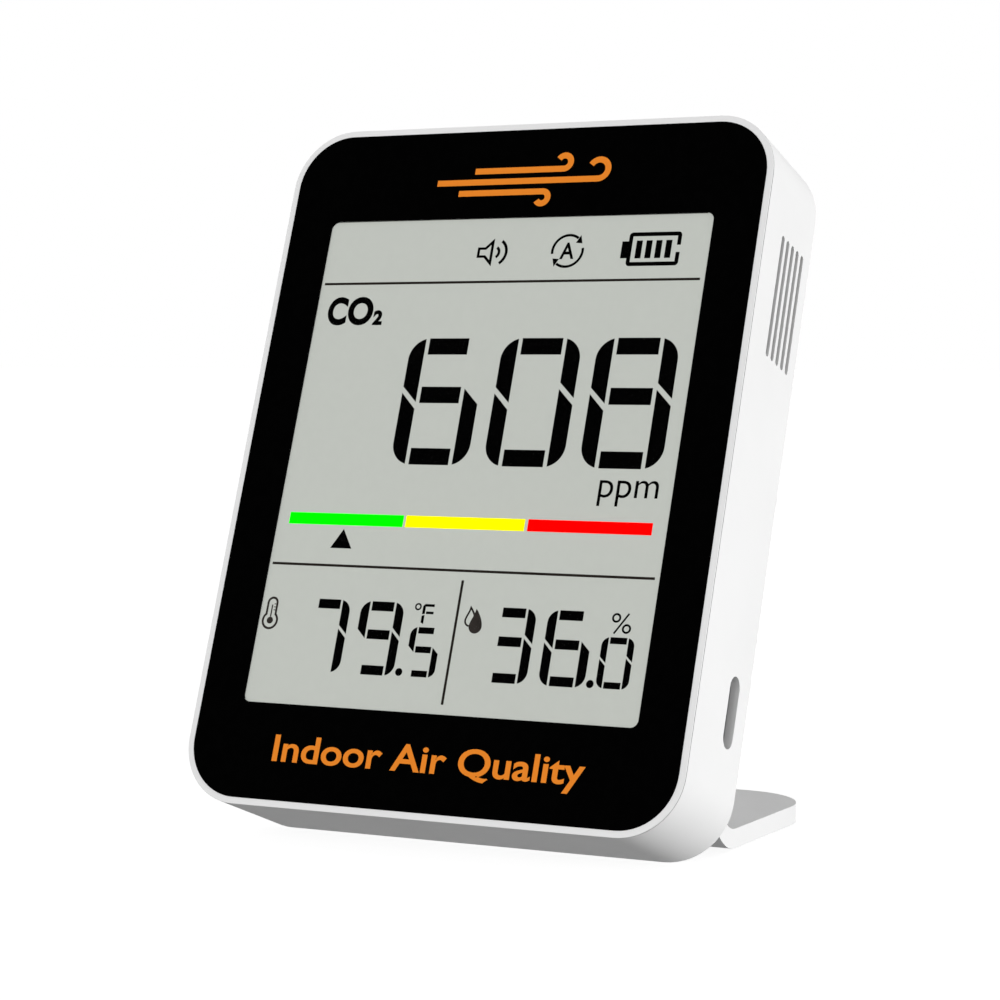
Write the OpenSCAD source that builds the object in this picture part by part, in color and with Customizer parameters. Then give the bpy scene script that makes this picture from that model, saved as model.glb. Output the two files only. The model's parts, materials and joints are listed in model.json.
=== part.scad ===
// Desk air quality monitor: a black-fronted LCD instrument in a white case that leans back on a
// hinged J-shaped stand.
// The case is drawn upright: x to the right, y into the body from the front panel, z up from the
// bottom of the case. lean_back() then tips it back and sets it on the ground.

/* [Case] */
// Width of the case
body_w = 79; // [76:0.5:84]
// Height of the case
body_h = 104.8; // [102:0.2:112]
// Outer corner radius of the case
body_r = 9.2; // [8.6:0.2:11]
// Depth of the main slab, from the front panel to its rear face
slab_y = 18.2; // [18:0.1:19]
// Total depth of the case with its rear housing
total_y = 28; // [27.6:0.1:29]
// Wall thickness
wall = 1.8; // [1.5:0.1:2]
// Angle that the case leans back in use
lean = 20; // [15:0.5:25]

/* [Front] */
// Width of the rim around the front panel
rim = 0.98; // [0.8:0.02:1.2]
// Thickness of the front panel
panel_t = 0.35; // [0.3:0.05:0.7]
// Width of the display window
window_w = 63.04; // [58:0.01:64]
// Bottom of the display window
window_z0 = 15.02; // [14.9:0.01:17]
// Top of the display window
window_z1 = 89.85; // [85:0.01:91]

/* [Right side] */
// Number of vent slots
vents = 5; // [3:1:5]
// Width of one vent slot
vent_w = 1.1; // [0.8:0.05:1.3]
// Spacing of the vent slots
vent_pitch = 1.91; // [1.6:0.01:2]
// Depth of the first vent slot's middle
vent_y = 7.05; // [6:0.05:8]
// Bottom and top of the vent slots
vent_z = [70.75, 88.87]; // [60:0.01:92]
// Middle of the USB port, as depth and height
usb_at = [12.4, 20.6]; // [12:0.1:24]
// Opening for the USB plug, across and along
usb_opening = [3.45, 10.2]; // [3.2:0.05:11]

/* [Stand] */
// Width of the stand
stand_w = 69.6; // [66:0.2:69.6]
// Thickness of the stand's plate
stand_t = 2.8; // [2.4:0.1:2.8]
// Inner radius of the stand's curved end
bend_r = 5.1; // [5:0.1:5.3]
// Length of the stand's flat part
flat_l = 33; // [26:0.1:34]
// Radius of the stand's far corners
stand_corner_r = 11.75; // [8:0.25:13]

/* [Buttons] */
// Spacing of the three buttons along the top edge
button_pitch = 16; // [14:0.5:16]
// How far a button stands out of the top
button_proud = 0.6; // [0.5:0.05:0.8]

/* [Hidden] */
$fn = 48;
eps = 0.01;

// Layers from the front panel back, as depths; the window sits a hair below the panel's face
face_y = 0.1;
tape_y = panel_t;
ledge_y = tape_y + 0.1;
window_y = 0.02;
window_back_y = panel_t - 0.02;
front_edge_r = 0.05;
// Fine line round the case just behind the rim's corner: its depths, and how deep it is cut
line_y = [0.24, 0.4];
line_cut = 0.35;
edge_r = 0.6;
front_back_y = 2.4;
cover_gap = 0.08;
pcb_y = 9.14;
pcb_t = 1.6;
board_y = pcb_y + pcb_t;

// Pocket inside the wall round the USB opening: its depth, and how far it reaches past the opening
usb_pocket = 0.5;
usb_pocket_edge = 0.6;

// Inside faces of the case
in_x = body_w / 2 - wall;
in_z0 = wall;
in_z1 = body_h - wall;

// Pocket of the front panel, and the opening behind it that holds the display
panel_gap = 0.02;
panel_w = body_w - 2 * rim;
panel_r = body_r - rim;
window_r = 1.15;
frame_x = 35.2;
frame_z = [10.8, 93.2];
opening_gap = 0.4;
opening_x = frame_x + opening_gap;
opening_z = frame_z + [-opening_gap, opening_gap];

// Display stack: face, glass, light guide and film, each behind the one before
lcd_x = 34.2;
lcd_z = [11.8, 92.2];
lcd_fit = 0.1;
contact_ledge = 2.5;
face_x = 32.8;
face_z = [14.6, 91.1];
lcd_y = tape_y + 0.02;
glass_y = lcd_y + 0.25;
sheet_t = 1.1;
guide_y = glass_y + 2 * sheet_t;
film_y = guide_y + 2.8;
film_t = 0.2;

// Rear housing
house_x = stand_w / 2;
house_top = body_h - 3;
house_r = 5;
house_edge = 1.5;
recess_y = total_y - stand_t - 0.35;
recess_z = 50.4;
notch_depth = 1;

// Ground line: the rear bottom edge of the slab rests on it
ground = -(slab_y - edge_r) * sin(lean) + edge_r * cos(lean) - edge_r;

// Hinge: closed, the plate's outer face is level with the housing, and its bend clears the pin.
// The hinge's height is the one that lays the open stand's plate flat on the ground
bend_or = bend_r + stand_t;
closed_bend = [total_y - bend_or, 16.2];
hinge_y = 21.9;
hinge_r = 2;
pin_r = 1;
pin_run = 0.05;
pin_x = [24.5, 34];
barrel_x = [17, 29.5];
lug_x = [30, 34];
lug_r = 2.2;
fold = 90 - lean;

hinge_z = (ground + bend_or + closed_bend[0] - hinge_y * (1 - sin(lean))) / cos(lean);
hinge = [hinge_y, hinge_z];

// Middle of the bend when the stand is open, and the reach of the plate's far edge
open_bend = hinge + turn(closed_bend - hinge, -fold);
bend_at = leaned(open_bend);
reach = bend_at[0] + flat_l;

// Foremost point, on the case's front bottom corner, and the whole part's middle, front to back
front = (face_y + front_edge_r) * cos(lean) + front_edge_r * sin(lean) - front_edge_r;
mid_y = (front + reach) / 2;

// Screws: the case's four and the board's four, as x and z
case_screws = [[-28, 97], [28, 97], [-12, 6.5], [12, 6.5]];
board_screws = [[-21.8, 96.8], [21.8, 96.8], [-30, 7], [30, 7]];
boss_y = 12;
seat_y = 16;
head_r = 2.2;
head_t = 1.4;
shank_r = 0.9;
pilot_r = 0.95;

// Buttons
buttons = [-button_pitch, 0, button_pitch];
button_w = 9;
button_t = 3.4;
button_gap = 0.15;
flange_z = [in_z1 - 1.1, in_z1 - 0.1];
switch_z = [95, 99.8];
stem_z = 98.9;

// Battery and sensor boxes: lowest corner and size
cell_at = [-31.5, 12.9, 18];
cell = [34, 10, 50];
co2_at = [12.5, board_y + 1.5, 57];
co2 = [20, 9, 33];

function turn(p, a) = [p[0] * cos(a) - p[1] * sin(a), p[0] * sin(a) + p[1] * cos(a)];
function leaned(p) = turn(p, -lean);

// Tips the upright case back and sets it on the ground, with the part's middle at y = 0
module lean_back() {
    translate([0, -mid_y, -ground])
        rotate([-lean, 0, 0])
            children();
}

// Draws a flat x-z outline as a plate from depth y0 to depth y1
module plate(y0, y1) {
    translate([0, y1, 0])
        rotate([90, 0, 0])
            linear_extrude(y1 - y0)
                children();
}

// Draws a flat y-z outline as a bar from x0 to x1
module bar(x0, x1) {
    translate([x0, 0, 0])
        rotate([90, 0, 90])
            linear_extrude(x1 - x0)
                children();
}

// Rectangle with round corners, from z0 to z1 and centred on x
module rounded(w, z0, z1, r) {
    union() {
        translate([-w / 2 + r, z0])
            square([w - 2 * r, z1 - z0]);
        translate([-w / 2, z0 + r])
            square([w, z1 - z0 - 2 * r]);
        for (x = [-w / 2 + r, w / 2 - r], z = [z0 + r, z1 - r])
            translate([x, z])
                circle(r);
    }
}

// Slot outline with round ends, centred, w wide and l long
module pill(w, l) {
    union() {
        square([w, l - w], center = true);
        for (s = [-1, 1])
            translate([0, s * (l - w) / 2])
                circle(w / 2);
    }
}

// Cross-section of a slab's edge: straight wall with a round at its far end
module edge_profile(r, t, f) {
    union() {
        square([r - f, t]);
        square([r, t - f]);
        translate([r - f, t - f])
            circle(f);
    }
}

// Slab from depth y0 to y1, with round corners and a round of radius f on its rear edges
module soft_slab(w, z0, z1, r, y0, y1, f) {
    t = y1 - y0;
    cx = w / 2 - r;
    cz = (z1 - z0) / 2 - r;
    translate([0, y0, (z0 + z1) / 2])
        rotate([-90, 0, 0])
            union() {
                translate([-cx, -cz, 0])
                    cube([2 * cx, 2 * cz, t]);
                for (k = [0, 1]) {
                    rotate(180 * k) {
                        soft_side(cx, cz, r, t, f);
                        soft_end(cx, cz, r, t, f);
                        soft_corner(cx, cz, r, t, f);
                        mirror([1, 0, 0])
                            soft_corner(cx, cz, r, t, f);
                    }
                }
            }
}

module soft_side(cx, cz, r, t, f) {
    translate([cx, cz, 0])
        rotate([90, 0, 0])
            linear_extrude(2 * cz)
                edge_profile(r, t, f);
}

module soft_end(cx, cz, r, t, f) {
    translate([-cx, cz, 0])
        rotate([90, 0, 90])
            linear_extrude(2 * cx)
                edge_profile(r, t, f);
}

module soft_corner(cx, cz, r, t, f) {
    translate([cx, cz, 0])
        rotate_extrude(angle = 90)
            edge_profile(r, t, f);
}

// Round bar along y
module post(x, z, y0, y1, r) {
    translate([x, y0, z])
        rotate([-90, 0, 0])
            cylinder(h = y1 - y0, r = r);
}

// Front and side walls in one piece: rim, ledge for the panel, fine line round the rim, vents, USB
// opening and button holes
module front_case() {
    color("whitesmoke")
        lean_back()
            difference() {
                union() {
                    difference() {
                        case_outside();
                        plate(front_back_y, slab_y + 1)
                            rounded(2 * in_x, in_z0, in_z1, body_r - wall);
                    }
                    for (p = case_screws)
                        post(p[0], p[1], front_back_y - eps, boss_y, 2.8);
                    for (p = board_screws)
                        post(p[0], p[1], front_back_y - eps, pcb_y, 2.2);
                }
                plate(face_y - 1, ledge_y)
                    rounded(panel_w + 2 * panel_gap, rim - panel_gap, body_h - rim + panel_gap,
                            panel_r + panel_gap);
                plate(0, front_back_y + 1)
                    square_between(opening_x, opening_z[0], opening_z[1]);
                for (p = concat(case_screws, board_screws))
                    post(p[0], p[1], 4, boss_y + 1, pilot_r);
                shadow_line();
                vent_slots();
                usb_hole();
                button_holes();
            }
}

// Slab with a small round on its front edge and a larger one on its rear edge
module case_outside() {
    split_y = slab_y / 2;
    union() {
        mirror([0, 1, 0])
            soft_slab(body_w, 0, body_h, body_r, -split_y, -face_y, front_edge_r);
        soft_slab(body_w, 0, body_h, body_r, split_y - eps, slab_y, edge_r);
    }
}

module shadow_line() {
    c = line_cut;
    plate(line_y[0], line_y[1])
        difference() {
            rounded(body_w + 1, -0.5, body_h + 0.5, body_r + 0.5);
            rounded(body_w - 2 * c, c, body_h - c, body_r - c);
        }
}

module vent_slots() {
    for (i = [0 : vents - 1])
        translate([0, vent_y + vent_pitch * i, (vent_z[0] + vent_z[1]) / 2])
            bar(in_x - 1, in_x + wall + 1)
                pill(vent_w, vent_z[1] - vent_z[0]);
}

// Opening for the plug, and a shallow pocket round it on the inside of the wall
module usb_hole() {
    w = usb_opening[0];
    l = usb_opening[1];
    e = 2 * usb_pocket_edge;
    translate([0, usb_at[0], usb_at[1]]) {
        bar(in_x - 1, in_x + wall + 1)
            pill(w, l);
        bar(in_x - 1, in_x + usb_pocket)
            pill(w + e, l + e);
    }
}

module button_holes() {
    for (x = buttons)
        translate([x, usb_at[0], in_z1 - 1])
            linear_extrude(wall + 2)
                rotate(90)
                    pill(button_t + 2 * button_gap, button_w + 2 * button_gap);
}

// Sharp-cornered rectangle from -x to x and z0 to z1
module square_between(x, z0, z1) {
    translate([-x, z0])
        square([2 * x, z1 - z0]);
}

module front_panel() {
    color("black")
        lean_back()
            plate(0, panel_t)
                difference() {
                    rounded(panel_w, rim, body_h - rim, panel_r);
                    rounded(window_w, window_z0, window_z1, window_r);
                }
}

// Clear area of the front panel, level with its black area
module display_window() {
    g = panel_gap;
    color([0.75, 0.78, 0.8, 0.35])
        lean_back()
            plate(window_y, window_back_y)
                rounded(window_w - 2 * g, window_z0 + g, window_z1 - g, window_r - g);
}

module panel_adhesive() {
    color("dimgray")
        lean_back()
            plate(tape_y, ledge_y)
                difference() {
                    rounded(panel_w - 0.6, rim + 0.3, body_h - rim - 0.3, panel_r - 0.3);
                    square_between(opening_x, opening_z[0], opening_z[1]);
                }
}

module lcd_frame() {
    color("dimgray")
        lean_back()
            difference() {
                plate(lcd_y, pcb_y)
                    square_between(frame_x, frame_z[0], frame_z[1]);
                plate(glass_y, pcb_y + 1)
                    square_between(lcd_x + lcd_fit, lcd_z[0] - lcd_fit, lcd_z[1] + lcd_fit);
                plate(lcd_y - 1, glass_y + 1)
                    square_between(face_x + lcd_fit, face_z[0] - lcd_fit, face_z[1] + lcd_fit);
            }
}

module lcd_polariser() {
    color("darkseagreen")
        lean_back()
            plate(lcd_y, glass_y)
                square_between(face_x, face_z[0], face_z[1]);
}

// Two sheets; the front one is longer at the bottom, where its contacts are
module lcd_glass() {
    color([0.8, 0.85, 0.82, 0.5])
        lean_back()
            union() {
                plate(glass_y, glass_y + sheet_t)
                    square_between(lcd_x, lcd_z[0], lcd_z[1]);
                plate(glass_y + sheet_t - eps, guide_y)
                    square_between(lcd_x, lcd_z[0] + contact_ledge, lcd_z[1]);
            }
}

module lcd_light_guide() {
    color("aliceblue")
        lean_back()
            plate(guide_y, film_y)
                square_between(lcd_x, lcd_z[0] + contact_ledge + lcd_fit, lcd_z[1]);
}

module lcd_reflector() {
    color("white")
        lean_back()
            plate(film_y, film_y + film_t)
                square_between(lcd_x, lcd_z[0] + contact_ledge + lcd_fit, lcd_z[1]);
}

// Rubber strip that carries the display's signals to the board
module lcd_zebra_strip() {
    color("pink")
        lean_back()
            plate(glass_y + sheet_t, pcb_y)
                square_between(32, lcd_z[0] + 0.2, lcd_z[0] + 2.2);
}

module main_pcb() {
    color("darkgreen")
        lean_back()
            plate(pcb_y, board_y)
                difference() {
                    union() {
                        square_between(35.5, 12, 93);
                        square_between(33.6, 4, 93.5);
                        square_between(31.5, 93, 99);
                        square_between(22, 98, 100.2);
                    }
                    for (p = case_screws)
                        translate(p)
                            circle(3.2);
                    for (p = board_screws)
                        translate(p)
                            circle(1.2);
                }
}

// Box whose face rests on the board's rear side
module chip(x, z, size) {
    translate([x - size[0] / 2, board_y, z - size[2] / 2])
        cube(size);
}

module mcu_chip() {
    color("black")
        lean_back()
            chip(-8, 52, [10, 1.4, 10]);
}

module power_chips() {
    color("black")
        lean_back() {
            chip(26, 28, [4, 1, 4]);
            chip(19, 27, [5, 2.2, 5]);
            chip(12, 30, [3, 1.1, 3]);
        }
}

// Rows of small resistors and capacitors
module small_components() {
    color("tan")
        lean_back() {
            for (i = [0 : 4]) {
                chip(-24 + 4 * i, 12, [2, 0.8, 1.2]);
                chip(-24 + 4 * i, 15, [1.6, 0.6, 0.8]);
            }
            for (i = [0 : 3])
                chip(11 + 4 * i, 50, [2, 0.8, 1.2]);
        }
}

module co2_sensor() {
    color("goldenrod")
        lean_back()
            translate(co2_at)
                cube(co2);
}

module co2_sensor_membrane() {
    color("white")
        lean_back()
            translate(co2_at + [5, co2[1], 8])
                cube([10, 0.3, 17]);
}

module co2_sensor_pins() {
    color("gold")
        lean_back()
            for (side = [0, 1], i = [0 : 3])
                translate([co2_at[0] + 3 + 14 * side, pcb_y, co2_at[2] + 4 + 8 * i])
                    translate([-0.3, pcb_t, -0.3])
                        cube([0.6, 1.5, 0.6]);
}

module temp_humidity_sensor() {
    color("black")
        lean_back()
            chip(34.3, 80, [2, 0.9, 3]);
}

module buzzer() {
    color("black")
        lean_back()
            difference() {
                post(20, 40, board_y, board_y + 5, 6);
                post(20, 40, board_y + 3.5, board_y + 6, 1.2);
            }
}

module usb_shell() {
    color("silver")
        lean_back()
            translate([0, usb_at[0], usb_at[1]])
                difference() {
                    bar(30, in_x - 0.35)
                        pill(3.26, 8.94);
                    bar(30.3, in_x)
                        pill(2.66, 8.34);
                }
}

module usb_tongue() {
    color("black")
        lean_back()
            translate([0, usb_at[0], usb_at[1]])
                union() {
                    bar(30.3, 31.4)
                        pill(2.6, 8.28);
                    translate([31.3, -0.35, -3.35])
                        cube([4.9, 0.7, 6.7]);
                }
}

module tact_switches() {
    color("darkgray")
        lean_back()
            for (x = buttons)
                translate([x, board_y, switch_z[0]])
                    difference() {
                        translate([-3.3, 0, 0])
                            cube([6.6, 3.5, switch_z[1] - switch_z[0]]);
                        translate([0, 1.7, stem_z - switch_z[0] - 0.6])
                            cylinder(h = 4, r = 1.3);
                    }
}

module switch_stem(x) {
    color("black")
        lean_back()
            translate([x, board_y + 1.7, stem_z])
                cylinder(h = flange_z[0] - stem_z, r = 1.2);
}

module switch_stem_power() {
    switch_stem(buttons[0]);
}

module switch_stem_mode() {
    switch_stem(buttons[1]);
}

module switch_stem_sound() {
    switch_stem(buttons[2]);
}

// Push button in the top edge: a cap with a flange that keeps it in the case
module button(x) {
    color("white")
        lean_back()
            translate([x, usb_at[0], 0])
                union() {
                    translate([0, 0, flange_z[1] - eps])
                        linear_extrude(body_h + button_proud - flange_z[1])
                            rotate(90)
                                pill(button_t, button_w);
                    translate([0, 0, flange_z[0]])
                        linear_extrude(flange_z[1] - flange_z[0])
                            rotate(90)
                                pill(button_t + 1, button_w + 1);
                }
}

module button_power() {
    button(buttons[0]);
}

module button_mode() {
    button(buttons[1]);
}

module button_sound() {
    button(buttons[2]);
}

module battery_cell() {
    color("silver")
        lean_back()
            translate(cell_at + [cell[0] / 2, cell[1] / 2, 0])
                linear_extrude(cell[2])
                    union() {
                        square([cell[0] - 4, cell[1]], center = true);
                        square([cell[0], cell[1] - 4], center = true);
                        for (x = [-1, 1], y = [-1, 1])
                            translate([x * (cell[0] / 2 - 2), y * (cell[1] / 2 - 2)])
                                circle(2);
                    }
}

module battery_pad() {
    color("gray")
        lean_back()
            translate([cell_at[0] + 3, cell_at[1] - 0.6, cell_at[2] + 3])
                cube([cell[0] - 6, 0.6, cell[2] - 6]);
}

// Wire from the battery's top end, round one bend and across to the plug
module battery_lead(x, z) {
    wire_r = 0.65;
    bend = 1.6;
    top = cell_at[2] + cell[2];
    lean_back()
        translate([x, 14, 0])
            union() {
                translate([0, 0, top])
                    cylinder(h = z - bend - top, r = wire_r);
                translate([bend, 0, z - bend])
                    rotate([90, 0, 0])
                        rotate([0, 0, 90])
                            rotate_extrude(angle = 90)
                                translate([bend, 0])
                                    circle(wire_r);
                translate([bend, 0, z])
                    rotate([0, 90, 0])
                        cylinder(h = 3.4 - x - bend, r = wire_r);
            }
}

module battery_lead_red() {
    color("red")
        battery_lead(-4, 72.2);
}

module battery_lead_black() {
    color("black")
        battery_lead(-7, 74.2);
}

module battery_plug() {
    color("ivory")
        lean_back()
            translate([3.4, 12.1, 70.9])
                cube([6.1, 3.8, 4.6]);
}

module battery_socket() {
    color("beige")
        lean_back()
            difference() {
                translate([5, board_y, 70])
                    cube([6.5, 6, 6.4]);
                translate([4, 12, 70.8])
                    cube([5.7, 4, 4.8]);
            }
}

// Pan-head screw along y, with its head's seat at depth y
module screw(x, y, z, length, r_head, r_shank) {
    union() {
        post(x, z, y, y + head_t, r_head);
        post(x, z, y - length, y + eps, r_shank);
    }
}

module housing_screws() {
    color("gray")
        lean_back()
            for (p = case_screws)
                difference() {
                    screw(p[0], seat_y, p[1], 10.5, head_r, shank_r);
                    cross_slot(p, seat_y + head_t);
                }
}

module pcb_screws() {
    color("gray")
        lean_back()
            for (p = board_screws)
                difference() {
                    screw(p[0], board_y, p[1], 5.5, 2, shank_r);
                    cross_slot(p, board_y + head_t);
                }
}

// Cross recess in a screw's head that ends at depth y
module cross_slot(p, y) {
    for (a = [0, 90])
        translate([p[0], y, p[1]])
            rotate([0, a, 0])
                cube([2.4, 1.4, 0.5], center = true);
}

module hinge_pins() {
    color("silver")
        lean_back()
            for (s = [0, 1])
                mirror([s, 0, 0])
                    translate([pin_x[0], hinge[0], hinge[1]])
                        rotate([0, 90, 0])
                            cylinder(h = pin_x[1] - pin_x[0], r = pin_r);
}

// Y-z outline of the lower housing: its rear bottom edge is round where the stand's bend passes
module low_house(inset) {
    r = bend_r - 0.35 - inset;
    y0 = slab_y - wall - 2 * eps;
    intersection() {
        union() {
            translate([y0, closed_bend[1] - r])
                square([closed_bend[0] - y0, recess_z]);
            translate([y0, closed_bend[1]])
                square([recess_y - y0 - inset, recess_z]);
            translate(closed_bend)
                circle(r);
        }
        translate([y0, 0])
            square([total_y, body_h]);
    }
}

// Back plate that closes the case, with the raised rear housing, screw posts and hinge lugs
module rear_cover() {
    color("white")
        lean_back()
            difference() {
                union() {
                    difference() {
                        cover_outside();
                        cover_inside();
                    }
                    for (p = case_screws)
                        post(p[0], p[1], boss_y + 0.1, cover_inner_y(p[1]) + eps, 3.2);
                    hinge_lugs();
                }
                for (p = case_screws) {
                    post(p[0], p[1], boss_y - 1, seat_y + 1, 1.2);
                    post(p[0], p[1], seat_y, total_y + 1, 2.6);
                }
                for (s = [0, 1])
                    mirror([s, 0, 0])
                        translate([lug_x[0] - 1, hinge[0], hinge[1]])
                            rotate([0, 90, 0])
                                cylinder(h = 10, r = pin_r);
                nail_notch();
            }
}

// Depth of the cover's inner face at height z
function cover_inner_y(z) = (z > recess_z ? total_y : slab_y) - wall;

module cover_outside() {
    cover_fit = cover_gap + wall;
    union() {
        plate(slab_y - wall, slab_y)
            rounded(body_w - 2 * cover_fit, cover_fit, body_h - cover_fit, body_r - cover_fit);
        difference() {
            soft_slab(2 * house_x, recess_z - 10, house_top, house_r, slab_y - 1, total_y, house_edge);
            translate([-house_x - 1, slab_y - 2, recess_z - 20])
                cube([2 * house_x + 2, total_y, 20]);
        }
        bar(-house_x, house_x)
            low_house(0);
    }
}

module cover_inside() {
    union() {
        plate(slab_y - wall - 1, total_y - wall)
            rounded(2 * (house_x - wall), recess_z + wall, house_top - wall, house_r - wall);
        intersection() {
            bar(-house_x + wall, house_x - wall)
                low_house(wall);
            plate(slab_y - wall - 1, total_y)
                square_between(house_x, 0, recess_z + 5);
        }
    }
}

// Two lugs that carry the hinge pins
module hinge_lugs() {
    for (s = [0, 1])
        mirror([s, 0, 0])
            bar(lug_x[0], lug_x[1])
                union() {
                    translate([slab_y - wall + eps, hinge[1] - lug_r])
                        square([hinge[0] - slab_y + wall, 2 * lug_r]);
                    translate(hinge)
                        circle(lug_r);
                }
}

// Notch for a fingernail above the closed stand's far edge
module nail_notch() {
    post(0, recess_z, total_y - notch_depth, total_y + 1, 9);
}

// Y-z outline of the open stand on the ground: flat plate, bend and hinge barrel
module stand_profile() {
    union() {
        translate([bend_at[0], bend_at[1] - bend_or])
            square([flat_l, stand_t]);
        difference() {
            translate(bend_at)
                circle(bend_or);
            translate(bend_at)
                circle(bend_r);
            translate([bend_at[0], bend_at[1] - 2 * bend_or])
                square(4 * bend_or);
            translate([bend_at[0] - 2 * bend_or, hinge_on_ground()[1]])
                square(4 * bend_or);
        }
        barrel_profile();
    }
}

// Hinge barrel and the web that joins it to the bend
module barrel_profile() {
    union() {
        translate(hinge_on_ground())
            circle(hinge_r);
        translate([hinge_on_ground()[0], hinge_on_ground()[1] - hinge_r])
            square([bend_at[0] - bend_r - hinge_on_ground()[0] - 0.4, hinge_r]);
    }
}

function hinge_on_ground() = leaned(hinge);

// Plan outline of the stand, with round far corners
module stand_plan() {
    y0 = hinge_on_ground()[0] - 5;
    r = stand_corner_r;
    union() {
        translate([-stand_w / 2, y0])
            square([stand_w, reach - r - y0]);
        translate([-stand_w / 2 + r, y0])
            square([stand_w - 2 * r, reach - y0]);
        for (s = [-1, 1])
            translate([s * (stand_w / 2 - r), reach - r])
                circle(r);
    }
}

module stand() {
    hinge_at = hinge_on_ground();
    // Height above which the bend narrows to its two hinge arms, clear of the lugs
    arm_z = bend_at[1] - bend_or * sin(31);
    color("whitesmoke")
        translate([0, -mid_y, -ground])
            difference() {
                intersection() {
                    bar(-stand_w / 2, stand_w / 2)
                        stand_profile();
                    translate([0, 0, ground - 1])
                        linear_extrude(30)
                            stand_plan();
                }
                for (s = [-1, 1])
                    translate([s * (barrel_x[1] + stand_w) - stand_w, hinge_at[0] - 10, arm_z])
                        cube([2 * stand_w, bend_at[0] - hinge_at[0] + 10, 20]);
                translate([-barrel_x[0], hinge_at[0] - 10, arm_z])
                    cube([2 * barrel_x[0], bend_at[0] - hinge_at[0] + 10, 20]);
                for (s = [0, 1])
                    mirror([s, 0, 0])
                        translate([pin_x[0] - 0.2, hinge_at[0], hinge_at[1]])
                            rotate([0, 90, 0])
                                cylinder(h = 20, r = pin_r + pin_run);
            }
}

front_case();
front_panel();
display_window();
panel_adhesive();
lcd_polariser();
lcd_glass();
lcd_light_guide();
lcd_reflector();
lcd_frame();
lcd_zebra_strip();
main_pcb();
mcu_chip();
power_chips();
small_components();
co2_sensor();
co2_sensor_membrane();
co2_sensor_pins();
temp_humidity_sensor();
buzzer();
usb_shell();
usb_tongue();
tact_switches();
battery_cell();
battery_pad();
battery_lead_red();
battery_lead_black();
battery_plug();
battery_socket();
rear_cover();
housing_screws();
pcb_screws();
hinge_pins();
button_power();
button_mode();
button_sound();
switch_stem_power();
switch_stem_mode();
switch_stem_sound();
stand();
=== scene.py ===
import json
import math

import bmesh
import bpy
from mathutils import Matrix, Vector


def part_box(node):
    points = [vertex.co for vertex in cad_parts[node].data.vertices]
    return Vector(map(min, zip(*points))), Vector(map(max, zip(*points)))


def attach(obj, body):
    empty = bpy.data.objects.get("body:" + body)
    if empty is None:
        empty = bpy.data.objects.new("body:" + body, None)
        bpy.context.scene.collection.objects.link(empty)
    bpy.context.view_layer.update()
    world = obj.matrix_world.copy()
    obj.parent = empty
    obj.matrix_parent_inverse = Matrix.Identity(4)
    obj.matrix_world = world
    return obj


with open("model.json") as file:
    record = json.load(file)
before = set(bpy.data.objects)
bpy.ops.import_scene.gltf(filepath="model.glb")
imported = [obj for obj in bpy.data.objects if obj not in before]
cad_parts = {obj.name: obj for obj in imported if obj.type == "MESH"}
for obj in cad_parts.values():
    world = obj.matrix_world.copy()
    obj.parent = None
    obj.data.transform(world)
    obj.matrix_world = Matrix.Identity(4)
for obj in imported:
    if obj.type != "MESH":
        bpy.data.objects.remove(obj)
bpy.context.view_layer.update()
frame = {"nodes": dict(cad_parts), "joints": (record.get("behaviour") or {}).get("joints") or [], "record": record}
nodes = frame["nodes"]

# Sizes below are in millimetres in the case's own upright frame: x to the right, depth into
# the case from the front panel, z up from its bottom. UPRIGHT carries them to the row frame.
MM = 0.001
# The front panel's thickness, and the width of the case's rim round it
PANEL_T = 0.35
RIM = 0.98
# Depths of the fine line round the case, a groove whose faces get painted shade
SEAM = (0.24, 0.4)
# Thickness of the display's drawing and of the printing
PRINT_T = 0.012
# Depth of the rear face of what is drawn on the display, and of what is printed on the panel
LCD_DEPTH = 0.368
PRINT_DEPTH = -0.002
# How far the display's drawing lies off the middle of its window
LCD_SHIFT = (-0.2, 0.11)
# Height of a capital in Blender's own font, for a text size of 1
CAP_OF_SIZE = 0.682
# Steps in each curve of a letter; with more, a bold letter's outline crosses itself
TEXT_STEPS = 6


def upright_matrix():
    """The case's own frame in the row frame, from the buttons' axis and the panel's box."""
    down = next(j["axis"] for j in frame["joints"] if j["name"] == "mode_press")
    lean = math.atan2(-down[1], -down[2])
    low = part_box("front_panel")[0]
    y = low[1] - RIM * MM * math.sin(lean)
    z = low[2] + PANEL_T * MM * math.sin(lean) - RIM * MM * math.cos(lean)
    return Matrix.Translation((0, y, z)) @ Matrix.Rotation(-lean, 4, "X")


UPRIGHT = upright_matrix()


def place(x, depth, z):
    """Row-frame point, in metres, of a point given in the case's frame in millimetres."""
    return UPRIGHT @ Vector((x * MM, depth * MM, z * MM))


# ---------------------------------------------------------------- camera, light and floor
# A point on the panel's left edge, in the case's frame, and the camera's place from it, in metres
PANEL_EDGE = (-38.535, 0, 1.0)
CAMERA_FROM_PANEL = Vector((0.22366, -0.32762, 0.06318))
CAMERA_DOWN = math.radians(3.015)
CAMERA_TURN = math.radians(27.69)
LENS_MM = 98.5
# What the lights point at; their places and sizes too are in metres, in the row frame
LIGHT_TARGET = Vector((0, 0, 0.05))
# Brightness of the light from below and from overhead, beside 1 at eye level
LOW_SKY = 0.2
HIGH_SKY = 0.45
# The floor's half width and its depth below the part, in metres, and its own glow
FLOOR_HALF = 12
FLOOR_DROP = 0.0002
FLOOR_GLOW = 0.84


def make_camera():
    camera = bpy.data.objects.new("camera", bpy.data.cameras.new("camera"))
    bpy.context.scene.collection.objects.link(camera)
    camera.data.lens = LENS_MM
    camera.data.sensor_width = 36
    camera.data.clip_start = 0.01
    camera.location = place(*PANEL_EDGE) + CAMERA_FROM_PANEL
    camera.rotation_euler = (math.pi / 2 - CAMERA_DOWN, 0, CAMERA_TURN)
    bpy.context.scene.camera = camera


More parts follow.
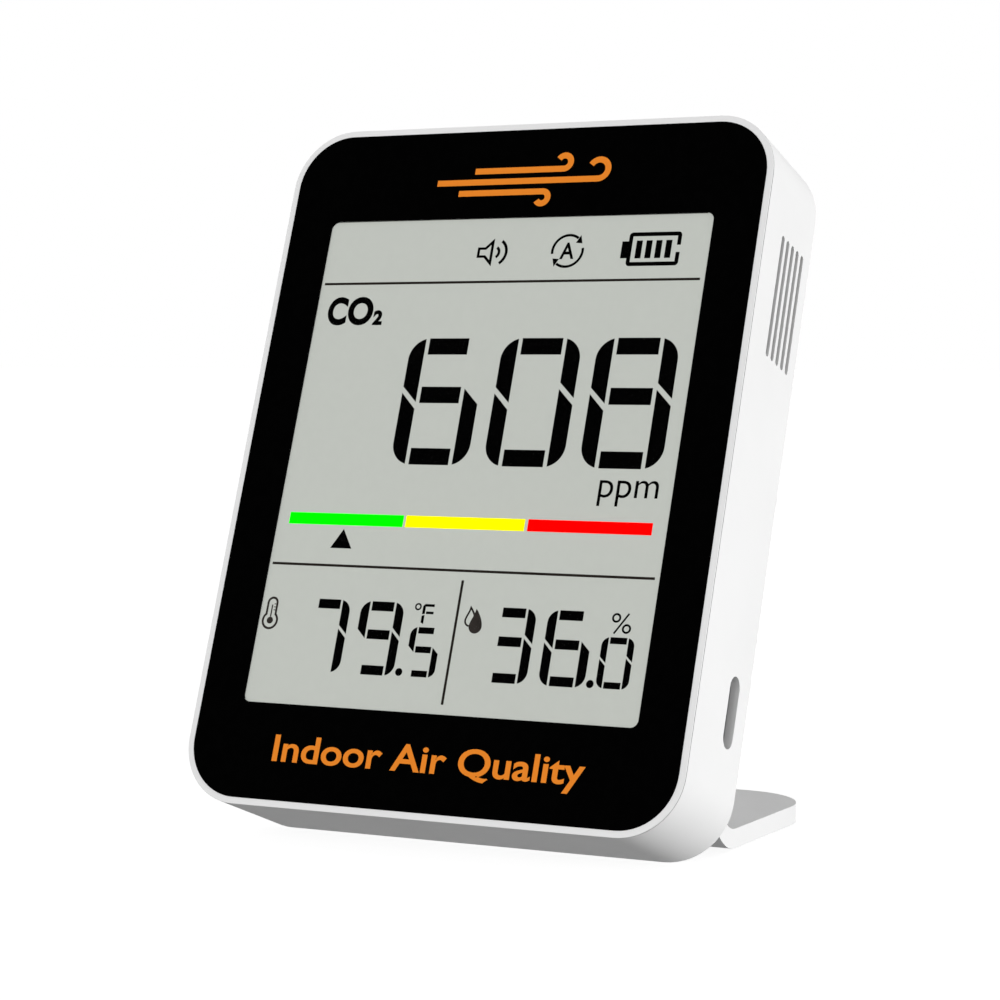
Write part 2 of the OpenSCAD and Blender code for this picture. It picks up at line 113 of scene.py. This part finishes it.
def make_area(name, location, size, watts):
    light = bpy.data.lights.new(name, "AREA")
    light.energy = watts
    light.shape = "RECTANGLE"
    light.size, light.size_y = size
    lamp = bpy.data.objects.new(name, light)
    lamp.location = location
    lamp.rotation_euler = (Vector(location) - LIGHT_TARGET).to_track_quat("Z", "Y").to_euler()
    bpy.context.scene.collection.objects.link(lamp)


def make_world():
    """White at eye level, dimmer from below and from overhead."""
    world = bpy.data.worlds.new("studio")
    bpy.context.scene.world = world
    world.use_nodes = True
    tree = world.node_tree
    where = tree.nodes.new("ShaderNodeTexCoord")
    split = tree.nodes.new("ShaderNodeSeparateXYZ")
    half = tree.nodes.new("ShaderNodeMath")
    half.operation = "MULTIPLY_ADD"
    half.inputs[1].default_value = 0.5
    half.inputs[2].default_value = 0.5
    ramp = tree.nodes.new("ShaderNodeValToRGB")
    # from 0, straight below, to 1, overhead
    bands = ramp.color_ramp.elements
    bands[0].position = 0.46
    bands[0].color = (LOW_SKY, LOW_SKY, LOW_SKY, 1)
    bands[1].position = 0.485
    bands[1].color = (1, 1, 1, 1)
    bands.new(0.6).color = (1, 1, 1, 1)
    bands.new(0.75).color = (HIGH_SKY, HIGH_SKY, HIGH_SKY, 1)
    tree.links.new(where.outputs["Generated"], split.inputs["Vector"])
    tree.links.new(split.outputs["Z"], half.inputs[0])
    tree.links.new(half.outputs["Value"], ramp.inputs["Fac"])
    tree.links.new(ramp.outputs["Color"], tree.nodes["Background"].inputs["Color"])


def make_floor():
    """Pale floor that glows a little, so that it stays as white as the backdrop."""
    mesh = bpy.data.meshes.new("floor")
    r = FLOOR_HALF
    mesh.from_pydata([(-r, -r, 0), (r, -r, 0), (r, r, 0), (-r, r, 0)], [], [(0, 1, 2, 3)])
    floor = bpy.data.objects.new("floor", mesh)
    bpy.context.scene.collection.objects.link(floor)
    floor.location = (0, 0, -FLOOR_DROP)
    floor.visible_diffuse = False
    floor.visible_glossy = False
    floor.visible_shadow = False
    pale = new_material("floor_pale", (0.35, 0.35, 0.35), 0.9)
    shader = shader_of(pale)
    shader.inputs["Specular IOR Level"].default_value = 0
    shader.inputs["Emission Color"].default_value = (1, 1, 1, 1)
    shader.inputs["Emission Strength"].default_value = FLOOR_GLOW
    mesh.materials.append(pale)


def make_stage():
    bpy.context.scene.view_settings.view_transform = "Standard"
    make_world()
    make_floor()
    make_area("side_softbox", (1.4, 0.05, 0.0), (0.9, 0.6), 13.8)
    make_area("front_softbox", (-0.1, -1.4, 0.4), (1.0, 1.0), 9.3)
    make_area("rear_softbox", (-0.5, 1.5, -0.4), (1.0, 0.5), 8.0)


# ---------------------------------------------------------------- materials
def new_material(name, colour, roughness):
    material = bpy.data.materials.new(name)
    material.use_nodes = True
    shader = shader_of(material)
    shader.inputs["Base Color"].default_value = (*colour, 1)
    shader.inputs["Roughness"].default_value = roughness
    return material


def shader_of(material):
    return material.node_tree.nodes["Principled BSDF"]


def add_noise(tree, scale, detail=2.0):
    """Noise in the object's own space; scale is in cycles a metre."""
    where = tree.nodes.new("ShaderNodeTexCoord")
    noise = tree.nodes.new("ShaderNodeTexNoise")
    noise.inputs["Scale"].default_value = scale
    noise.inputs["Detail"].default_value = detail
    tree.links.new(where.outputs["Object"], noise.inputs["Vector"])
    return noise


def add_bump(material, scale, depth_mm, strength=0.4):
    """Fine surface grain."""
    tree = material.node_tree
    noise = add_noise(tree, scale)
    bump = tree.nodes.new("ShaderNodeBump")
    bump.inputs["Strength"].default_value = strength
    bump.inputs["Distance"].default_value = depth_mm * MM
    tree.links.new(noise.outputs["Fac"], bump.inputs["Height"])
    tree.links.new(bump.outputs["Normal"], shader_of(material).inputs["Normal"])


def add_variation(material, low, high, scale, socket="Base Color"):
    """Slow, faint change of colour or roughness across the surface."""
    tree = material.node_tree
    noise = add_noise(tree, scale, 3.0)
    ramp = tree.nodes.new("ShaderNodeValToRGB")
    ramp.color_ramp.elements[0].position = 0.35
    ramp.color_ramp.elements[1].position = 0.65
    ramp.color_ramp.elements[0].color = (*low, 1)
    ramp.color_ramp.elements[1].color = (*high, 1)
    tree.links.new(noise.outputs["Fac"], ramp.inputs["Fac"])
    tree.links.new(ramp.outputs["Color"], shader_of(material).inputs[socket])


def plastic(name, colour, roughness=0.5, grain=9000, grain_mm=0.012, specular=0.5):
    """Moulded plastic with a fine spark-eroded grain and a faint change of tone."""
    material = new_material(name, colour, roughness)
    shader_of(material).inputs["Specular IOR Level"].default_value = specular
    tone = 0.012
    low = [max(c - tone, 0) for c in colour]
    high = [min(c + tone, 1) for c in colour]
    add_variation(material, low, high, 45)
    add_variation(material, [roughness - 0.05] * 3, [roughness + 0.05] * 3, 160, "Roughness")
    add_bump(material, grain, grain_mm)
    return material


def metal(name, colour, roughness=0.3, grain=6000):
    material = new_material(name, colour, roughness)
    shader_of(material).inputs["Metallic"].default_value = 1.0
    add_variation(material, [roughness - 0.07] * 3, [roughness + 0.09] * 3, 900, "Roughness")
    add_bump(material, grain, 0.006, 0.3)
    return material


def printed(name, colour, roughness=0.6, glow=0.0, spread=0.012):
    """Ink or a lit display field: a thin even layer with a faint grain."""
    material = new_material(name, colour, roughness)
    low = [c * (1 - spread) for c in colour]
    high = [c * (1 + spread) for c in colour]
    add_variation(material, low, high, 700)
    shader = shader_of(material)
    shader.inputs["Specular IOR Level"].default_value = 0.004
    if glow:
        shader.inputs["Emission Color"].default_value = (*colour, 1)
        shader.inputs["Emission Strength"].default_value = glow
    return material


def clear_glass(name, gloss_ior=1.05, roughness=0.04):
    """Clear sheet that shows what is behind it, with a soft gloss that grows at grazing angles."""
    material = bpy.data.materials.new(name)
    material.use_nodes = True
    tree = material.node_tree
    tree.nodes.clear()
    clear = tree.nodes.new("ShaderNodeBsdfTransparent")
    gloss = tree.nodes.new("ShaderNodeBsdfGlossy")
    gloss.inputs["Roughness"].default_value = roughness
    fresnel = tree.nodes.new("ShaderNodeFresnel")
    fresnel.inputs["IOR"].default_value = gloss_ior
    mix = tree.nodes.new("ShaderNodeMixShader")
    out = tree.nodes.new("ShaderNodeOutputMaterial")
    tree.links.new(fresnel.outputs["Fac"], mix.inputs["Fac"])
    tree.links.new(clear.outputs["BSDF"], mix.inputs[1])
    tree.links.new(gloss.outputs["BSDF"], mix.inputs[2])
    tree.links.new(mix.outputs["Shader"], out.inputs["Surface"])
    return material


def circuit_board(name):
    """Green solder mask with faint copper tracks under it."""
    material = new_material(name, (0.01, 0.13, 0.05), 0.35)
    tree = material.node_tree
    where = tree.nodes.new("ShaderNodeTexCoord")
    bricks = tree.nodes.new("ShaderNodeTexBrick")
    bricks.inputs["Scale"].default_value = 180
    bricks.inputs["Mortar Size"].default_value = 0.03
    bricks.inputs["Color1"].default_value = (0.01, 0.12, 0.045, 1)
    bricks.inputs["Color2"].default_value = (0.012, 0.15, 0.06, 1)
    bricks.inputs["Mortar"].default_value = (0.05, 0.26, 0.1, 1)
    tree.links.new(where.outputs["Object"], bricks.inputs["Vector"])
    tree.links.new(bricks.outputs["Color"], shader_of(material).inputs["Base Color"])
    add_bump(material, 5000, 0.01, 0.3)
    return material


def make_materials():
    """The record's slots, then the fine line's painted shade and what the display's drawing and the printing use.
    """
    return {
        "case_white": plastic("case_white", (0.787, 0.787, 0.787), 0.7, specular=0.2),
        "button_white": plastic("button_white", (0.76, 0.76, 0.76), 0.6, specular=0.3),
        "clear_window": clear_glass("clear_window"),
        "lcd_glass": clear_glass("lcd_glass", 1.3, 0.02),
        "black_mask": printed("black_mask", (0.0004, 0.0004, 0.0004), 0.6, spread=0.3),
        "black_tape": plastic("black_tape", (0.02, 0.02, 0.02), 0.8),
        # The display field's glow stands for its backlight, and is also painted light that lifts the shade in the
        # window's recess
        "lcd_face": printed("lcd_face", (0.3, 0.312, 0.29), 0.8, glow=0.83),
        "clear_plastic": plastic("clear_plastic", (0.8, 0.83, 0.85), 0.2),
        "white_film": plastic("white_film", (0.85, 0.85, 0.85), 0.6),
        "black_plastic": plastic("black_plastic", (0.02, 0.02, 0.02), 0.45),
        "grey_rubber": plastic("grey_rubber", (0.2, 0.2, 0.21), 0.8, 4000, 0.03),
        "board_green": circuit_board("board_green"),
        "chip_black": plastic("chip_black", (0.02, 0.02, 0.022), 0.55, 12000, 0.01),
        "component_tan": plastic("component_tan", (0.4, 0.27, 0.15), 0.4),
        "sensor_gold": metal("sensor_gold", (0.42, 0.29, 0.12), 0.5),
        "white_membrane": plastic("white_membrane", (0.85, 0.85, 0.83), 0.9, 2500, 0.05),
        "pin_gold": metal("pin_gold", (0.6, 0.43, 0.19), 0.35),
        "bright_steel": metal("bright_steel", (0.68, 0.68, 0.69), 0.28),
        "switch_steel": metal("switch_steel", (0.55, 0.55, 0.55), 0.35),
        "battery_wrap": metal("battery_wrap", (0.62, 0.64, 0.68), 0.42, 1500),
        "lead_red": plastic("lead_red", (0.5, 0.015, 0.012), 0.4),
        "lead_black": plastic("lead_black", (0.015, 0.015, 0.015), 0.4),
        "connector_white": plastic("connector_white", (0.75, 0.72, 0.64), 0.5),
        "screw_steel": metal("screw_steel", (0.42, 0.42, 0.43), 0.3),
        # Painted shade: a flat darker grey for the groove's faces behind the rim's corner
        "seam_painted_shade": plastic("seam_painted_shade", (0.42, 0.42, 0.42), 0.9, specular=0.1),
        "segment_black": printed("segment_black", (0.0004, 0.0004, 0.0004), 0.6, spread=0.3),
        "line_brown": printed("line_brown", (0.019, 0.0155, 0.013), 0.8, spread=0.1),
        "sign_brown": printed("sign_brown", (0.031, 0.0265, 0.0235), 0.8, spread=0.1),
        "bar_green": printed("bar_green", (0.0, 1.0, 0.0), 0.8, 0.3),
        "bar_yellow": printed("bar_yellow", (1.0, 1.0, 0.0), 0.8, 0.3),
        "bar_red": printed("bar_red", (1.0, 0.0, 0.0), 0.8, 0.3),
        "orange_ink": printed("orange_ink", (0.80, 0.235, 0.024), 0.7),
    }


MATERIALS = make_materials()


def dress_nodes():
    """Gives every CAD node the material of its slot."""
    for part in frame["record"]["subparts"]:
        mesh = nodes[part["node"]].data
        mesh.materials.clear()
        mesh.materials.append(MATERIALS[part["material_slot"]])


def paint_seam_shade():
    """Paints shade into the fine line round the case, behind the rim's corner, as a darker grey on its faces."""
    case = nodes["front_case"]
    case.data.materials.append(MATERIALS["seam_painted_shade"])
    to_case = UPRIGHT.inverted() @ case.matrix_world
    slack = 0.01
    # faces within the groove's depths take the painted shade
    for face in case.data.polygons:
        depths = [(to_case @ case.data.vertices[v].co).y / MM for v in face.vertices]
        if min(depths) > SEAM[0] - slack and max(depths) < SEAM[1] + slack:
            face.material_index = 1


# ---------------------------------------------------------------- flat outlines, as lists of (x, z)
def rect(x0, z0, x1, z1):
    return [(x0, z0), (x1, z0), (x1, z1), (x0, z1)]


def polar(cx, cz, r, angle):
    """Point at that angle, in degrees, and distance from the centre."""
    t = math.radians(angle)
    return cx + r * math.cos(t), cz + r * math.sin(t)


def arc(cx, cz, r, a0, a1, steps=12):
    """Points from angle a0 to a1, in degrees, anticlockwise if a1 is larger."""
    return [polar(cx, cz, r, a0 + (a1 - a0) * i / steps) for i in range(steps + 1)]


def circle(cx, cz, r):
    return arc(cx, cz, r, 0, 360, 32)[:-1]


def ring(cx, cz, r, width):
    return [circle(cx, cz, r + width / 2), circle(cx, cz, r - width / 2)]


def arc_band(cx, cz, r, a0, a1, width):
    return arc(cx, cz, r + width / 2, a0, a1, 20) + arc(cx, cz, r - width / 2, a1, a0, 20)


def line_band(points, width):
    """Outline of a line of that width through the points, with mitred corners and square ends."""
    left, right = [], []
    last = len(points) - 1
    for i, (x, z) in enumerate(points):
        a = Vector(points[max(i - 1, 0)])
        b = Vector(points[min(i + 1, last)])
        here = Vector((x, z))
        sides = [(here - a).normalized()] if i else []
        if i < last:
            sides.append((b - here).normalized())
        normals = [Vector((-s.y, s.x)) for s in sides]
        normal = sum(normals, Vector((0, 0))).normalized()
        reach = width / 2 / max(normal.dot(normals[0]), 0.3)
        left.append(tuple(here + normal * reach))
        right.append(tuple(here - normal * reach))
    return left + right[::-1]


def flat_piece(name, loops, depth, material):
    """Thin closed solid from outlines, where a loop inside another is a hole.

    Its rear face is at depth.
    """
    curve = bpy.data.curves.new(name, "CURVE")
    curve.dimensions = "2D"
    curve.fill_mode = "BOTH"
    curve.extrude = PRINT_T * MM / 2
    for loop in loops:
        spline = curve.splines.new("POLY")
        spline.points.add(len(loop) - 1)
        for point, (x, z) in zip(spline.points, loop):
            point.co = (x * MM, z * MM, 0, 1)
        spline.use_cyclic_u = True
    return solid_from_curve(name, curve, depth, material, "case")


def solid_from_curve(name, curve, depth, material, body):
    """Turns a flat curve or text into a mesh piece at that depth in the case."""
    temp = bpy.data.objects.new(name, curve)
    bpy.context.scene.collection.objects.link(temp)
    graph = bpy.context.evaluated_depsgraph_get()
    mesh = bpy.data.meshes.new_from_object(temp.evaluated_get(graph))
    bpy.data.objects.remove(temp)
    bpy.data.curves.remove(curve)
    mesh.name = name
    stand_up = Matrix.Rotation(math.pi / 2, 4, "X")
    dx, dz = LCD_SHIFT if depth == LCD_DEPTH else (0, 0)
    to_depth = Matrix.Translation((dx * MM, (depth - PRINT_T / 2) * MM, dz * MM))
    mesh.transform(UPRIGHT @ to_depth @ stand_up)
    shape = bmesh.new()
    shape.from_mesh(mesh)
    bmesh.ops.remove_doubles(shape, verts=shape.verts, dist=1e-7)
    bmesh.ops.recalc_face_normals(shape, faces=shape.faces)
    shape.to_mesh(mesh)
    shape.free()
    mesh.materials.clear()
    mesh.materials.append(MATERIALS[material])
    piece = bpy.data.objects.new(name, mesh)
    bpy.context.scene.collection.objects.link(piece)
    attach(piece, body)
    return piece


def text_piece(name, words, x0, x1, z_base, cap_height, depth, material, bold=0.0):
    """Text whose capitals are cap_height tall and which fills x0 to x1.

    bold is how far each stroke grows on either side.
    """
    font = bpy.data.curves.new(name, "FONT")
    font.body = words
    font.fill_mode = "BOTH"
    font.size = cap_height / CAP_OF_SIZE * MM
    font.offset = bold * MM
    font.resolution_u = TEXT_STEPS
    font.extrude = PRINT_T * MM / 2
    piece = solid_from_curve(name, font, depth, material, "case")
    across = [v.co.x for v in piece.data.vertices]
    stretch = (x1 - x0) * MM / (max(across) - min(across))
    move = Matrix.Translation((x0 * MM, 0, z_base * MM)) @ Matrix.Diagonal((stretch, 1, 1, 1))
    move = move @ Matrix.Translation((-min(across), 0, 0))
    shift = Matrix.Translation((LCD_SHIFT[0] * MM, 0, 0)) if depth == LCD_DEPTH else Matrix()
    piece.data.transform(UPRIGHT @ shift @ move @ UPRIGHT.inverted())
    return piece


# ---------------------------------------------------------------- display
# A full-size digit: its size, corner radius, width of its uprights, height of its bars and the
# bars' left end
DIGIT_W = 12.78
DIGIT_H = 19.46
DIGIT_R = 3.3
UPRIGHT_W = 2.51
BAR_T = 2.52
BAR_X = 3.12
# How far each bar's top lies below the digit's top
BAR_TOPS = {"a": 0.0, "g": 7.51, "d": DIGIT_H - BAR_T}
# How far each upright's slanted end lies below the digit's top, on its outer and inner side
SLANTS = {"f": (7.51, 9.88), "e": (8.48, 10.94), "b": (9.09, 6.76), "c": (10.15, 7.76)}
# Bars a, g and d from the top down, uprights f and e on the left, b and c on the right
LIT = {"0": "abcdef", "3": "abcdg", "5": "acdfg", "6": "acdefg", "7": "abc", "8": "abcdefg",
       "9": "abcdfg"}


def digit_segment(which):
    """One segment's outline, x to the right and z down from the digit's top left corner."""
    if which in BAR_TOPS:
        top = BAR_TOPS[which]
        return rect(BAR_X, top, DIGIT_W - BAR_X, top + BAR_T)
    # the upright ends where the corner's arc reaches its inner side
    end = math.degrees(math.acos((DIGIT_R - UPRIGHT_W) / DIGIT_R))
    outer, inner = SLANTS[which]
    if which in "fb":
        corner_z = DIGIT_R
    else:
        corner_z = DIGIT_H - DIGIT_R
        end = -end
    if which in "fe":
        corner = arc(DIGIT_R, corner_z, DIGIT_R, 180 + end, 180)
        return [(0, outer), (UPRIGHT_W, inner)] + corner
    corner = arc(DIGIT_W - DIGIT_R, corner_z, DIGIT_R, -end, 0)
    return [(DIGIT_W, outer), (DIGIT_W - UPRIGHT_W, inner)] + corner


def digit(value, left, top, scale_x=1.0, scale_z=None):
    scale_z = scale_z or scale_x
    segments = [digit_segment(which) for which in LIT[value]]
    return [[(left + x * scale_x, top - z * scale_z) for x, z in outline] for outline in segments]


def display_numbers():
    big_top, small_top, tenths_top = 70.98, 30.83, 27.38
    small, tenth_x, tenth_z = 0.5555, 0.386, 0.372
    dot = 0.57
    big = digit("6", -14.03, big_top) + digit("0", 1.27, big_top) + digit("8", 16.53, big_top)
    flat_piece("lcd_co2_digits", big, LCD_DEPTH, "segment_black")
    warm = digit("7", -23.4, small_top, small) + digit("9", -14.49, small_top, small)
    warm += [circle(-6.54, 20.7, dot)] + digit("5", -5.71, tenths_top, tenth_x, tenth_z)
    flat_piece("lcd_temperature_digits", warm, LCD_DEPTH, "segment_black")
    damp = digit("3", 6.67, small_top, small) + digit("6", 15.59, small_top, small)
    damp += [circle(23.51, 20.66, dot)] + digit("0", 24.36, tenths_top, tenth_x, tenth_z)
    flat_piece("lcd_humidity_digits", damp, LCD_DEPTH, "segment_black")


def display_lines():
    reach, half = 30.83, 0.19
    across = [rect(-reach, z - half, reach, z + half) for z in (79.77, 35.9)]
    flat_piece("lcd_cross_lines", across, LCD_DEPTH, "line_brown")
    flat_piece("lcd_middle_line", [rect(1.06, 16.4, 1.46, 34.5)], LCD_DEPTH, "line_brown")


def display_units():
    text_piece("lcd_co2_c", "C", -29.36, -26.0, 73.4, 3.95, LCD_DEPTH, "segment_black", 0.24)
    text_piece("lcd_co2_o", "O", -25.85, -21.5, 73.4, 3.95, LCD_DEPTH, "segment_black", 0.24)
    text_piece("lcd_co2_index", "2", -21.33, -19.7, 73.3, 2.0, LCD_DEPTH, "segment_black", 0.17)
    text_piece("lcd_ppm_label", "ppm", 20.23, 29.38, 47.3, 3.84, LCD_DEPTH, "segment_black", -0.02)
    fahrenheit = ring(-5.18, 30.35, 0.42, 0.24)
    fahrenheit += [rect(-4.1, 30.4, -2.56, 30.8), rect(-3.78, 29.33, -2.56, 29.71)]
    fahrenheit += [[(-4.4, 30.45), (-4.17, 30.75), (-3.95, 30.35), (-3.95, 29.36), (-4.4, 29.26)],
                   [(-4.4, 29.05), (-3.95, 29.2), (-3.95, 27.85), (-4.4, 28.05)]]
    flat_piece("lcd_fahrenheit_mark", fahrenheit, LCD_DEPTH, "segment_black")
    percent = ring(26.01, 30.13, 0.54, 0.3) + ring(27.73, 28.63, 0.54, 0.3)
    percent.append(line_band([(25.91, 27.9), (27.83, 30.8)], 0.27))
    flat_piece("lcd_percent_mark", percent, LCD_DEPTH, "segment_black")


def display_bar():
    """The level bar in its three colours, and the pointer under it."""
    low, high = 42.02, 43.8
    for name, x0, x1 in (("green", -29.33, -10.08), ("yellow", -9.67, 9.58), ("red", 10.08, 29.33)):
        flat_piece("lcd_bar_" + name, [rect(x0, low, x1, high)], LCD_DEPTH, "bar_" + name)
    pointer = [(-21.5, 38.52), (-17.92, 38.52), (-19.75, 41.45)]
    flat_piece("lcd_bar_pointer", [pointer], LCD_DEPTH, "segment_black")


# Middle height of the row of signs at the top of the display
SIGNS_Z = 84.41


def speaker_icon():
    cz = SIGNS_Z
    cone = [(-5.55, cz - 0.82), (-4.35, cz - 0.82), (-2.95, cz - 2.2), (-2.95, cz + 2.2),
            (-4.35, cz + 0.82), (-5.55, cz + 0.82)]
    hole = [(-5.13, cz - 0.43), (-4.15, cz - 0.43), (-3.38, cz - 1.2), (-3.38, cz + 1.2),
            (-4.15, cz + 0.43), (-5.13, cz + 0.43)]
    waves = [arc_band(-2.85, cz, 0.9, -58, 58, 0.44), arc_band(-2.85, cz, 2.1, -56, 56, 0.46)]
    flat_piece("lcd_speaker_icon", [cone, hole] + waves, LCD_DEPTH, "segment_black")


def auto_icon():
    """A letter inside two arcs, each with an arrowhead at its end."""
    cx, cz, r, w = 9.25, SIGNS_Z, 2.45, 0.4
    loops = []
    for turn in (0, 180):
        loops.append(arc_band(cx, cz, r, 52.5 + turn, 190 + turn, w))
        arrow = ((r + 0.05, 27), (r + 0.6, 52.5), (r - 0.75, 46.5))
        loops.append([polar(cx, cz, reach, a + turn) for reach, a in arrow])
    flat_piece("lcd_auto_icon", loops, LCD_DEPTH, "segment_black")
    text_piece("lcd_auto_letter", "A", cx - 1.15, cx + 1.15, cz - 1.2, 2.42, LCD_DEPTH,
               "segment_black", 0.07)


def battery_icon():
    """A cell's outline with its nub on the left and a gap on the right, and four bars in it."""
    x0, x1, z0, z1, w = 18.86, 27.07, 81.88, 87.05, 0.61
    nub_x, nub_low, nub_high = 17.85, 83.1, 85.7
    gap_low, gap_high = 83.93, 85.02
    bar_x, bar_w, bar_step = 20.12, 0.94, 1.54
    r = 0.56
    wall = [(x1, gap_high)] + arc(x1 - r, z1 - r, r, 0, 90, 6) + arc(x0 + r, z1 - r, r, 90, 180, 6)
    wall += [(x0, nub_high), (nub_x, nub_high), (nub_x, nub_low), (x0, nub_low)]
    wall += arc(x0 + r, z0 + r, r, 180, 270, 6) + arc(x1 - r, z0 + r, r, 270, 360, 6)
    wall += [(x1, gap_low), (x1 - w, gap_low), (x1 - w, z0 + w), (x0 + w, z0 + w), (x0 + w, z1 - w)]
    wall += [(x1 - w, z1 - w), (x1 - w, gap_high)]
    bars = [rect(x, 83.05, x + bar_w, 85.79) for x in (bar_x + bar_step * i for i in range(4))]
    flat_piece("lcd_battery_icon", [wall] + bars, LCD_DEPTH, "segment_black")


def thermometer_icon():
    cx, cz = -29.48, 27.24
    bulb, tube, top = 1.38, 0.94, 30.82
    start = math.degrees(math.acos(tube / bulb))
    outer = arc(cx, cz, bulb, 180 - start, 360 + start, 28)
    outer += arc(cx, top - tube, tube, 0, 180, 10)
    w = 0.34
    start = math.degrees(math.acos((tube - w) / (bulb - w)))
    inner = arc(cx, cz, bulb - w, 180 - start, 360 + start, 28)
    inner += arc(cx, top - tube, tube - w, 0, 180, 10)
    loops = [outer, inner, circle(cx, cz, 0.52), rect(cx - 0.1, cz + 0.55, cx + 0.1, 29.6)]
    loops += [rect(cx + 0.3, z, cx + tube - w - 0.02, z + 0.13) for z in (28.75, 29.2, 29.65)]
    flat_piece("lcd_thermometer_icon", loops, LCD_DEPTH, "sign_brown")


def bend(*corners):
    """Points along the cubic curve with those four control points."""
    steps = 30
    points = []
    for i in range(steps + 1):
        t = i / steps
        weights = ((1 - t) ** 3, 3 * t * (1 - t) ** 2, 3 * t * t * (1 - t), t ** 3)
        points.append(tuple(sum(w * p[k] for w, p in zip(weights, corners)) for k in (0, 1)))
    return points


def drop(cx, cz, r):
    """Water drop, clockwise from its tip: a round foot between two curved sides."""
    tip = (-0.21, 2.49)
    right = bend(tip, (0.42, 1.76), (0.9, 0.98), (0.985, 0.174))
    left = bend((-0.966, 0.259), (-0.75, 1.13), (-0.41, 1.37), tip)
    outline = right[:-1] + arc(0, 0, 1, 10, -195, 60) + left[1:-1]
    return [(cx + r * x, cz + r * z) for x, z in outline]


def covered(point, loop):
    """Whether the point lies inside the loop."""
    x, z = point
    inside = False
    for (x0, z0), (x1, z1) in zip(loop, loop[1:] + loop[:1]):
        if (z0 > z) != (z1 > z) and x < x0 + (x1 - x0) * (z - z0) / (z1 - z0):
            inside = not inside
    return inside


def humidity_icon():
    """A dark drop, and the outline of a smaller one that it partly hides."""
    dark = drop(4.42, 27.89, 1.03)
    flat_piece("lcd_humidity_drop", [dark], LCD_DEPTH, "sign_brown")
    behind = drop(3.46, 28.67, 0.77)
    half = len(behind) // 2
    outline = line_band(behind[half:] + behind[:half], 0.27)
    seen = [point for point in outline if not covered(point, dark)]
    flat_piece("lcd_humidity_outline", [seen], LCD_DEPTH, "line_brown")


def front_emblem():
    """Generic sign for moving air: three streams that each curl back at one end."""
    loops = []
    streams = ((-8.2, 6.4, 97.35, 1.05, 1),
               (-14.3, 12.2, 95.6, 1.5, 1),
               (-10.4, 3.6, 93.85, 0.95, -1))
    for x0, x1, z, r, way in streams:
        curl = arc(x1, z + way * r, r, -90 * way, 150 * way, 18)
        loops.append(line_band([(x0, z)] + curl, 0.95))
    flat_piece("front_emblem", loops, PRINT_DEPTH, "orange_ink")


def front_lettering():
    text_piece("front_lettering", "Indoor Air Quality", -24.8, 24.8, 6.7, 3.7, PRINT_DEPTH,
               "orange_ink", 0.09)


def make_display():
    display_numbers()
    display_lines()
    display_units()
    display_bar()
    speaker_icon()
    auto_icon()
    battery_icon()
    thermometer_icon()
    humidity_icon()
    front_emblem()
    front_lettering()


make_camera()
make_stage()
dress_nodes()
paint_seam_shade()
make_display()
